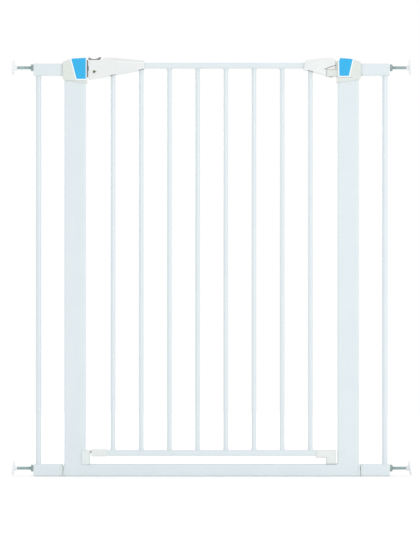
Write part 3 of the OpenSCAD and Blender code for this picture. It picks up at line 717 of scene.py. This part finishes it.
def handle():
    """Each shell is a cheek and a core. The cores stop lower, so the button has a channel to slide in."""
    under, over = along(HANDLE_X, HANDLE_UNDER), along(HANDLE_X, HANDLE_OVER)
    outline = rounded_outline(notched(under, BAR_X[:2]) + over, 1.2)
    core_over = along(HANDLE_X, channelled(HANDLE_OVER))
    core = rounded_outline(notched(under, BAR_X[:2]) + core_over, 0.3)
    crease, flow = along(HANDLE_X, CREASE), along(HANDLE_X, FLOW)
    steep, gentle = 0.42, 0.1

    def lean(x, z):
        """The band above the crease falls back, and so does the face below the long shallow bend."""
        back = 0.0
        if x > crease[0][0]:
            back += max(0.0, z - height_on(crease, x)) * steep
        fall = height_on(flow, min(max(x, flow[0][0]), flow[1][0]))
        return back + max(0.0, fall - z) * gentle

    def band(x, y, z):
        """Painted shade on the band above the crease, which faces up, away from the frontal lamps."""
        over_crease = z - height_on(crease, x) - 0.8
        return 0.8 * min(max(over_crease, 0.0), 1.0) * min(max((x - crease[0][0]) / 12, 0.0), 1.0)

    points = evened(crease, 2, closed=False) + evened(flow, 3, closed=False)
    face = Face(-SHELL_Y + 0.3, 1.7, 0.3, lean=lean)
    cheek = puffed(outline, face, Face(-CHANNEL_HALF), extra=points)
    half = joined([cheek, puffed(core, Face(-CHANNEL_HALF - 0.1), Face(-SPLIT))])
    # The band's darkening is painted shade.
    put("handle_front_shell", half, "handle", "door", ["handle_front"], shade_and_arm_tone=band)
    put("handle_back_shell", flipped(half), "handle", "door", ["handle_back"], shade_and_arm_tone=band)
    # The bead's pale, glossy colour is a painted highlight along the edge under the band.
    highlight_bead = bead(crease[1:], -SHELL_Y + 0.75, 1.15)
    put("handle_highlight_bead", joined([highlight_bead, flipped(highlight_bead)]), "rim", "door")
    # Dark rings of painted shade where the bars run in.
    put("handle_gap_shades", joined([gap_shade(x, under) for x in BAR_X[:2]]), "gap_shade", "door")
    pointer = rounded_outline(along(HANDLE_X, POINTER), 0.35, 1.0)
    arrow = puffed(pointer, Face(-SHELL_Y - 0.55, 0.3), Face(-SHELL_Y + 0.9))
    put("slide_arrow", arrow, "arrow", "door", ["handle_arrow"])


# X is from the hinge's axis.
BLOCK_RIGHT = -SHELL_Y - 0.3      # right side of the block that reaches down beside the arm
HOUSING_UNDER = [(-66, KNUCKLE_LOW), (BLOCK_RIGHT, POST_TOP - 29)]
HOUSING_OVER = [
    (BLOCK_RIGHT, KNUCKLE_LOW), (SHELL_Y, KNUCKLE_LOW), (SHELL_Y, POST_TOP + 0.7), (10, POST_TOP + 7.5),
    (4.5, POST_TOP + 11), (-3, POST_TOP + 12), (-20, POST_TOP + 11), (-60.5, POST_TOP + 6.6),
]
SEAM = [
    (BLOCK_RIGHT - 1, ARM_TOP + 1.4), (-8, ARM_TOP + 4.4), (-2, ARM_TOP + 7), (9.5, ARM_TOP + 10),
    (SHELL_Y, ARM_TOP + 14.6),
]
RIDGE = [(-60, POST_TOP + 1.5), (0, POST_TOP + 6.5)]


def around_hinge(x):
    """How far the housing falls back from its flat face: first to a thinner nose, then round its end."""
    taper_start, taper = 44, 40
    t = min(max((x - HINGE_X + taper_start) / taper, 0.0), 1.0)
    out = min(max(x - HINGE_X, 0.0), SHELL_Y)
    return max(NOSE_THIN * t * t * (3 - 2 * t), SHELL_Y - math.sqrt(SHELL_Y ** 2 - out ** 2))


def seam_strip(line):
    """Painted shade: a dark strip in the bottom of the groove that runs up to the cap."""
    near, far, half = 0.9, 2.6, 0.62
    rings = []
    for p in evened(line, 1.2, closed=False):
        y = -SHELL_Y + around_hinge(min(p.x, HINGE_X + SHELL_Y - 0.4))
        corners = ((near, -half), (near, half), (far, half), (far, -half))
        rings.append([(p.x, min(y + deep, -0.1), p.y + up) for deep, up in corners])
    return loft(rings)


def housing():
    """Two shells whose round end turns over the arm, with a slanted seam above it."""
    under, over = along(HINGE_X, HOUSING_UNDER), along(HINGE_X, HOUSING_OVER)
    seam, ridge = along(HINGE_X, SEAM), along(HINGE_X, RIDGE)
    outline = rounded_outline(notched(under, BAR_X[-1:]) + over, 1.2)
    columns = [
        Vector((HINGE_X + SHELL_Y * math.sin(math.radians(a)), z))
        for a in range(36, 90, 5)
        for z in np.arange(KNUCKLE_LOW + 1, POST_TOP + 11, 3.5)
    ]

    def lean(x, z):
        """The face follows the hinge's round, and above the ridge it falls back."""
        return around_hinge(x) + max(0.0, z - height_on(ridge, x)) * 0.25

    def below_seam(x, y, z):
        """The part between the seam and the arm has the arm's tone."""
        return float(x > seam[0][0] + 1 and z < height_on(seam, x) - 0.8)

    face = Face(-SHELL_Y, 1.0, 0.0, [Groove(seam, 1.5, 1.8)], lean)
    extra = columns + evened(ridge, 2.5, closed=False)
    half = puffed(outline, face, Face(-SPLIT), extra=extra, step=3.5)
    put("housing_front_shell", half, "handle", "door", ["housing_front"], shade_and_arm_tone=below_seam)
    put("housing_back_shell", flipped(half), "handle", "door", ["housing_back"], shade_and_arm_tone=below_seam)
    put("housing_heel", horns(KNUCKLE_LOW - 13, KNUCKLE_LOW + 0.1, LEFT), "handle", "door")
    strip = seam_strip(seam)
    # The dark strip is painted shade in the seam's groove.
    put("seam_shade_strip", joined([strip, flipped(strip)]), "dark", "door")
    # A dark ring of painted shade where the bar runs in.
    put("housing_gap_shade", gap_shade(BAR_X[-1], under), "gap_shade", "door")


# ---------- lock ----------

def button():
    """The slide button: a hollow for the thumb, with low ribs in it."""
    x0, z0 = low("lock_button").x, low("lock_button").z
    centre, rise, hollow = 13.5, 21.0, 19.2
    rib_height, rib_pitch, ribbed = 0.22, 3, 8
    top = []
    for x in np.arange(2.1, 26, 0.5):
        across = x - centre
        z = rise - math.sqrt(hollow ** 2 - across ** 2)
        if abs(across) < ribbed:
            z += rib_height * max(0.0, math.cos(2 * math.pi * across / rib_pitch))
        top.append((x, z))
    profile = [(0, 0), (26, 0), (30, 5.8), (28.5, 6.6)] + top[::-1] + [(0, 5.6)]
    outline = rounded_outline([(x0 + x, z0 + z) for x, z in profile], 0.5, 1.5)
    y = high("lock_button").y
    return puffed(outline, Face(-y, 0.9), Face(y, 0.9), step=3)


def spring():
    """A coil spring between the lock and the door, with closed coils at both ends."""
    a, b = low("lock_spring"), high("lock_spring")
    wire, coils, per_coil = 0.5, 7, 20
    r = (b.y - a.y) / 2 - wire
    centre = (a.z + b.z) / 2
    rings = []
    for k in range(coils * per_coil + 1):
        t = k / (coils * per_coil)
        angle = 2 * math.pi * k / per_coil
        x = a.x + wire + (b.x - a.x - 2 * wire) * min(max((t - 0.1) / 0.8, 0.0), 1.0)
        ring = []
        for c in turns(8):
            out = r + wire * math.cos(c)
            ring.append((x + wire * math.sin(c), out * math.cos(angle), centre + out * math.sin(angle)))
        rings.append(ring)
    return loft(rings)


def lock():
    put("slide_button", button(), "button", "lock", ["lock_button"])
    coil = put("coil_spring", spring(), "zinc", None, ["lock_spring"])
    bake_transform(coil)


# ---------- spindles and pads ----------

THREAD_PITCH = 1.25
THREAD_DEPTH = 0.55


def threaded_rod():
    """A rod with a helical thread, a turned neck and a ball, along +X from the tube's inside."""
    around, per_pitch = 22, 6
    start = low("rod_lower_right").x
    shoulder = BALL_X - 6.7
    rows = int((shoulder - start) / THREAD_PITCH * per_pitch)
    run_out = 1.5        # length over which the thread fades at each end
    rings = [circle(start, TIP, around)]
    for row in range(rows + 1):
        x = start + (shoulder - start) * row / rows
        fade = min(1.0, (x - start) / run_out, (shoulder - x) / run_out)
        ring = []
        for k, a in enumerate(turns(around)):
            phase = (x / THREAD_PITCH - k / around) % 1.0
            cut = THREAD_DEPTH * abs(2 * phase - 1) * fade + 0.3 * (1 - fade)
            ring.append((x, (ROD_R - cut) * math.cos(a), (ROD_R - cut) * math.sin(a)))
        rings.append(ring)
    neck = [(3.4, shoulder + 0.05), (2.5, shoulder + 0.9), (2.5, BALL_X - 2.6)]
    ball = [
        (BALL_R * math.sin(a), BALL_X - BALL_R * math.cos(a))
        for a in np.radians(list(range(44, 180, 8)) + [179.7])
    ]
    return loft(rings + [circle(x, r, around) for r, x in neck + ball])


def hex_nut():
    """A nut with its corners rounded off at both faces, and a countersunk bore."""
    around = 72
    sixth = math.pi / 3
    corners = [NUT_R / math.cos((a + sixth / 2) % sixth - sixth / 2) for a in turns(around)]
    round_face, slope = 0.93 * NUT_R, math.tan(math.radians(30))
    bore = ((1.1, ROD_R - 0.1), (0.25, ROD_R + 0.75), (0.0, ROD_R + 1.0), (0.0, round_face))

    def end(face, inward):
        """Rings from the bore out to the flats, at the end whose face is at face."""
        rings = [circle(face + inward * deep, r, around) for deep, r in bore]
        side = [
            (face + inward * ((c - round_face) * slope + 0.12), c * math.cos(a), c * math.sin(a))
            for a, c in zip(turns(around), corners)
        ]
        return rings + [side]

    rings = end(NUT_X, 1) + end(NUT_X + NUT_T, -1)[::-1]
    return loft(rings + [rings[0]], close_ends=False)


def wall_pad(lean):
    """A swivelling pad: a disc with a round rim and a ribbed face, and a flared hub with a socket."""
    r, face, back = 17.0, 6.5, 0.9       # the disc's radius, its face and its back, from the ball
    hub = 5.5                            # how far the hub reaches back
    socket = 3.9
    dip = 0.5                            # how far the face lies back between its ribs
    profile = [(TIP, face - 1.2), (3.2, face - 1.2), (3.8, face - dip)]
    for rib in (5.6, 8.0, 10.4, 12.8):
        profile += [(rib - 0.9, face - dip), (rib - 0.5, face), (rib + 0.5, face), (rib + 0.9, face - dip)]
    profile += [(15.0, face - 0.35), (15.6, face)]
    for a in np.radians([20, 45, 70, 90]):
        profile.append((r - 1.6 + 1.6 * math.sin(a), face - 1.6 + 1.6 * math.cos(a)))
    profile.append((r, back + 2.0))
    for a in np.radians([25, 50, 75, 90]):
        profile.append((r - 2 + 2 * math.cos(a), back + 2 - 1.4 * math.sin(a)))
    for a in np.radians(range(0, 91, 10)):
        flare = 5.3 + 3.9 * (1 - math.sin(a))
        profile.append((flare, back - (back + hub - 0.5) * (1 - math.cos(a))))
    profile += [(5.1, -hub + 0.1), (4.7, -hub), (4.0, -hub), (3.75, -hub + 0.3), (3.0, -2.5)]
    for a in np.radians(range(52, 180, 12)):
        profile.append((socket * math.sin(a), -socket * math.cos(a)))
    profile.append((TIP, socket))
    shape = loft([circle(x, radius, 64) for radius, x in profile])
    place = Matrix.Translation((BALL_X, 0, ROD_RISE)) @ Matrix.Rotation(math.radians(-lean), 4, "Y")
    return moved(shape, place)


def spindles():
    raised = Matrix.Translation((0, 0, ROD_RISE))
    rod, nut = moved(threaded_rod(), raised), moved(hex_nut(), raised)
    for level, z in SPINDLE_Z.items():
        up = Matrix.Translation((0, 0, z))
        pad = moved(wall_pad(LEAN[level]), up)
        for name, side in SIDES.items():
            where = f"{level}_{name}"
            put(f"threaded_rod_{where}", mirrored(moved(rod, up), side), "rod",
                f"spindle_{where}", [f"rod_{where}"], sharp=50)
            put(f"hex_nut_{where}", mirrored(moved(nut, up), side), "zinc",
                f"nut_{where}", [f"nut_{where}"], sharp=24)
            put(f"wall_pad_{where}", mirrored(pad, side), "pad", f"pad_{where}", [f"pad_{where}"])


# ---------- plugs in the tubes' ends ----------

def plug(x, inward, depth, hole, bulge=0.0):
    """A plug whose outer face is at x, with a hole in it. Its face bulges by bulge half way up."""
    w, h, r, head = 2 * FRAME_Y, RAIL_H, 3.0, 3.0
    half = h / 2
    stem = ((head + depth, 3.4), (head + depth - 1.5, 2.6), (head + 0.01, 2.6))
    rim = ((head, 0.35), (head - 0.15, 0.0), (1.0, 0.0), (0.6, 0.3), (0.3, 0.8), (0.1, 1.4), (0.0, 2.4))
    rings = []
    for back, shrink in stem + rim:
        corner = max(r - shrink / 2, 1.2) if back > head else r + shrink * 0.35
        rings.append(rectangle_ring(x + inward * back, w - shrink, h - shrink, corner, half))
    like = rings[-1]
    for deep, wider in ((0, 1.6), (-0.25, 1.0), (0, 0.3), (3, 0)):
        rings.append(circle_ring(x + inward * deep, hole + wider, ROD_RISE, like))
    verts, faces = loft(rings)
    out = []
    for vx, vy, vz in verts:
        near = max(0.0, 1 - abs(vx - x) / head)
        out.append((vx - inward * bulge * near * (1 - ((vz - half) / half) ** 2), vy, vz))
    return out, faces


def plugs():
    spigot_r = (high("extension_spigots").y - low("extension_spigots").y) / 2
    rail = [mirrored(plug(POST_OUT + 1.8, -1, 10.5, spigot_r, 1.0), side) for side in SIDES.values()]
    put("rail_plugs", joined(rail), "plug", "frame", ["rail_end_plugs"])
    inner, outer = [], []
    for level, z in SPINDLE_Z.items():
        up = Matrix.Translation((0, 0, z))
        bulge = 1.2 if level == "lower" else 0.6
        for side in SIDES.values():
            inner.append(mirrored(moved(plug(EXT_IN - 3.3, 1, 7.5, spigot_r, bulge), up), side))
            outer.append(mirrored(moved(plug(EXT_OUT + 3, -1, 15, ROD_R + 0.05), up), side))
    put("inner_plugs", joined(inner), "plug", "frame", ["extension_inner_plugs"])
    put("outer_plugs", joined(outer), "plug", "frame", ["extension_outer_plugs"])


# ---------- welds ----------

def weld(x, z, r, up, seed, reach=2.3, rise=5.0):
    """A rippled bead round an upright tube of radius r, on the surface at height z."""
    rings = []
    profile = ((-0.3, 1.0), (0.0, 0.97), (0.1, 0.7), (0.28, 0.42), (0.56, 0.2), (0.9, 0.06), (1.0, -0.05))
    for out, tall in profile:
        ring = []
        for a in turns(40):
            ripple = 1 + 0.13 * math.sin(11 * a + seed) + 0.08 * math.sin(5 * a + 2.1 * seed)
            far = r + max(out, 0) * reach * ripple + min(out, 0)
            ring.append((x + far * math.cos(a), far * math.sin(a), z + up * rise * tall * ripple))
        rings.append(ring)
    return loft(rings, close_ends=False)


def foot_fill():
    """The weld at a post's foot, ground flush with the faces of the post and the rail."""
    inner, outer = POST_IN + 1.5, POST_OUT - 1.8
    toe, sunk, proud = 3.7, 3.2, 0.03
    line = [
        (inner - toe, RAIL_H - sunk), (inner - toe, RAIL_H + 0.2), (inner - 1.3, RAIL_H + 1.6),
        (inner, RAIL_H + 3.4), (outer, RAIL_H + 3.4), (outer, RAIL_H - sunk),
    ]
    return puffed(rounded_outline(line, 0.8), Face(-FRAME_Y - proud), Face(FRAME_Y + proud), step=6)


def welds():
    """The outer bars' upper ends are inside the handle and the housing, so they have no weld."""
    door = []
    for n, x in enumerate(BAR_X):
        door.append(weld(x, BAR_LOW, BAR_R, 1, 1.7 * n))
        if 2 <= n <= 6:
            door.append(weld(x, BAR_TOP, BAR_R, -1, 0.6 + 1.3 * n))
    put("door_welds", joined(door), "paint", "door")
    fixed = []
    for side in SIDES.values():
        fixed.append(mirrored(foot_fill(), side))
        fixed.append(mirrored(weld(EXT_BAR_X, RAIL_H, EXT_BAR_R, 1, 3.1 + side, 1.7, 2.2), side))
        fixed.append(mirrored(weld(EXT_BAR_X, EXT_TOP, EXT_BAR_R, -1, 4.7 + side, 1.7, 2.2), side))
    put("frame_welds", joined(fixed), "paint", "frame")


# ---------- feet ----------

def floor_catch():
    """The fork at the latch post's foot: two cheeks, and a block under the slot between them."""
    a, b = low("bottom_catch"), high("bottom_catch")
    slot, slot_floor, top = 5.0, 52.0, b.z - 2.4
    outline = [(a.x, a.z), (b.x, a.z), (b.x, top), (a.x, top)]
    under = [(a.x + 3, a.z), (b.x, a.z), (b.x, slot_floor), (a.x + 3, slot_floor)]
    rounded = rounded_outline(outline, 4.2)
    pairs = ((a.y, -slot), (slot, b.y))
    cheeks = [puffed(rounded, Face(y0, 1.2), Face(y1, 1.2), step=5) for y0, y1 in pairs]
    block = puffed(rounded_outline(under, 0.8), Face(-slot - 1), Face(slot + 1), step=5)
    put("floor_catch", joined(cheeks + [block]), "catch", "frame", ["bottom_catch"])


def latch_foot():
    """A shoe on the end of the door's bottom rail, with a tongue that drops into the catch."""
    a, b = low("latch_foot"), high("latch_foot")
    left, right = a.x + 11.5, b.x - 1.5
    body = [(left, a.z), (right, a.z), (right, b.z), (left, b.z)]
    block = puffed(rounded_outline(body, 3.2), Face(a.y, 2.0), Face(b.y, 2.0), step=5)
    root, under, over = -POST_IN + 18, b.z - 8.6, b.z - 1.6
    tongue = [(a.x, under), (root, under), (root, over), (a.x, over)]
    tip = puffed(rounded_outline(tongue, 1.8, 1.5), Face(-4, 1.0), Face(4, 1.0), step=4)
    put("latch_shoe", joined([block, tip]), "bearing", "door", ["latch_foot"])


def hinge_foot():
    """A shoe on the rail's other end, whose leg takes the lower pin."""
    a, b = low("hinge_foot"), high("hinge_foot")
    shelf = a.z + 14.6
    leg = b.x - 2 * (b.x - HINGE_X)
    points = [(a.x, shelf), (leg, shelf), (leg, a.z), (b.x, a.z), (b.x, b.z), (a.x, b.z)]
    block = puffed(rounded_outline(points, 1.6), Face(a.y, 3.4), Face(b.y, 3.4), step=5)
    put("hinge_shoe", block, "bearing", "door", ["hinge_foot"])


# ---------- screws ----------

SCREW_R = 3.4
SCREW_SUNK = 0.9     # how deep a screw's seat lies in the face


def screw():
    """A pan head with a cross recess, facing +X, its seat at 0."""
    recess, arm, deep = 1.9, 0.5, 1.3
    rings = []
    for r in (TIP, 0.3, 0.55, 0.8, 1.1, 1.4, 1.7, 1.9, 2.1, 2.5, 2.9, 3.2, 3.35, SCREW_R):
        dome = 1.9 - 0.9 * (r / SCREW_R) ** 2 - (0.35 if r > 3.3 else 0.0)
        ring = []
        for _, y, z in circle(0, r, 48):
            in_cross = min(abs(y), abs(z)) < arm and r < recess
            cut = deep * max(0.0, 1 - r / (recess + 0.4)) if in_cross else 0.0
            ring.append((dome - cut, y, z))
        rings.append(ring)
    rings.append([(0.0, y, z) for _, y, z in rings[-1]])
    return loft(rings)


def screws():
    head = screw()
    turn = Matrix.Rotation(math.radians(90), 4, "Z")

    def behind(places, face):
        """A screw at each place, in the back face that is at face."""
        y = face - SCREW_SUNK
        return joined([moved(head, Matrix.Translation((x, y, z)) @ turn) for x, z in places])

    handle_places = [(HANDLE_X + 7, HANDLE_TOP - 38), (HANDLE_X + 92, HANDLE_TOP - 4.5)]
    block = (HINGE_X + BLOCK_RIGHT - 5.7, POST_TOP - 24)
    housing_places = [(HINGE_X - 55, POST_TOP + 3.5), (HINGE_X - 24, POST_TOP + 4.5), block]
    heights = (POST_TOP - 32, POST_TOP - 8)
    cap_places = [(side * (POST_OUT - 9), z) for side in SIDES.values() for z in heights]
    put("handle_screw_heads", behind(handle_places, SHELL_Y), "zinc", "door", ["handle_screws"])
    put("housing_screw_heads", behind(housing_places, SHELL_Y), "zinc", "door", ["housing_screws"])
    put("cap_screw_heads", behind(cap_places, CAP_Y), "zinc", "frame", ["cap_screws"])
    place = (high("bottom_catch").x - 1.2, 0, middle("catch_screw").z)
    outward = moved(head, Matrix.Translation(place))
    put("catch_screw_head", outward, "zinc", "frame", ["catch_screw"])


# ---------- the CAD's own pieces that stay ----------

KEPT = {
    "paint": [
        "bottom_rail", "left_post", "right_post", "left_extension_top", "left_extension_bottom",
        "left_extension_bar", "right_extension_top", "right_extension_bottom", "right_extension_bar",
        "door_top_rail", "door_bottom_rail",
    ] + [f"door_bar_{n}" for n in range(1, 9)],
    "cap": ["keeper"],
    # the buffer's grey is painted shade for the gap beside the handle's end
    "gap_shade_buffer": ["latch_buffer"],
    "bearing": ["upper_hinge_bush", "lower_hinge_bush"],
    "zinc": ["extension_spigots", "upper_hinge_pin", "lower_hinge_pin", "lock_bolt"],
}
SOFTENED = {"latch_buffer": 0.5, "lock_bolt": 0.5, "keeper": 0.4}     # bevel widths


def kept_nodes():
    """Gives the CAD's own pieces their materials, and a few of them soft edges."""
    for look, names in KEPT.items():
        for name in names:
            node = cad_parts[name]
            node.data.materials.clear()
            node.data.materials.append(LOOKS[look].material)
            if name in SOFTENED:
                weld_up = node.modifiers.new("weld", "WELD")
                weld_up.merge_threshold = 0.00001
                soften = node.modifiers.new("soften", "BEVEL")
                soften.width = SOFTENED[name] * MM
                soften.segments = 3
                soften.limit_method = "ANGLE"
                soften.angle_limit = math.radians(40)
                soften.harden_normals = True


# ---------- floor, light and camera ----------

AIM = Vector((0, 0, 0.45))     # where the lamps point, in metres
LAMPS = (
    # name, place in metres, size in metres, power in watts
    ("overhead", (0.3, -0.8, 3.2), 3.0, 5),
    ("key", (2.7, -3.8, 1.1), 1.8, 40),
    ("fill", (-2.4, 4.2, 1.6), 1.8, 30),
)
CAMERA_PLACE = (-0.004, -7.0, 0.493)


def lay_floor():
    """A plain pale disc."""
    bpy.ops.mesh.primitive_circle_add(vertices=96, radius=3, fill_type="NGON", location=(0, 0, 0))
    floor = bpy.context.object
    floor.name = "floor"
    pale = bpy.data.materials.new("floor_look")
    pale.use_nodes = True
    shader = pale.node_tree.nodes["Principled BSDF"]
    shader.inputs["Base Color"].default_value = (0.99, 0.99, 0.99, 1)
    shader.inputs["Roughness"].default_value = 0.9
    floor.data.materials.append(pale)


def set_light(scene):
    """White surroundings and three large, soft lamps."""
    world = bpy.data.worlds.new("studio")
    world.use_nodes = True
    background = world.node_tree.nodes["Background"]
    background.inputs["Color"].default_value = (1, 1, 1, 1)
    background.inputs["Strength"].default_value = 1.0
    scene.world = world
    for name, place, size, power in LAMPS:
        area = bpy.data.lights.new(name, "AREA")
        area.size = size
        area.energy = power
        lamp = bpy.data.objects.new(name, area)
        lamp.location = place
        lamp.rotation_euler = (AIM - Vector(place)).to_track_quat("-Z", "Y").to_euler()
        scene.collection.objects.link(lamp)
    scene.view_settings.view_transform = "Standard"
    scene.view_settings.look = "None"


def set_camera(scene):
    """A long lens, square to the gate and level with its middle."""
    lens = bpy.data.cameras.new("camera")
    lens.lens = 200
    lens.sensor_width = 36
    lens.clip_end = 60
    camera = bpy.data.objects.new("camera", lens)
    camera.location = CAMERA_PLACE
    camera.rotation_euler = (math.radians(90), 0, 0)
    scene.collection.objects.link(camera)
    scene.camera = camera


kept_nodes()
latch_side()
hinge_side()
handle()
housing()
lock()
spindles()
plugs()
welds()
floor_catch()
latch_foot()
hinge_foot()
screws()
lay_floor()
set_light(bpy.context.scene)
set_camera(bpy.context.scene)
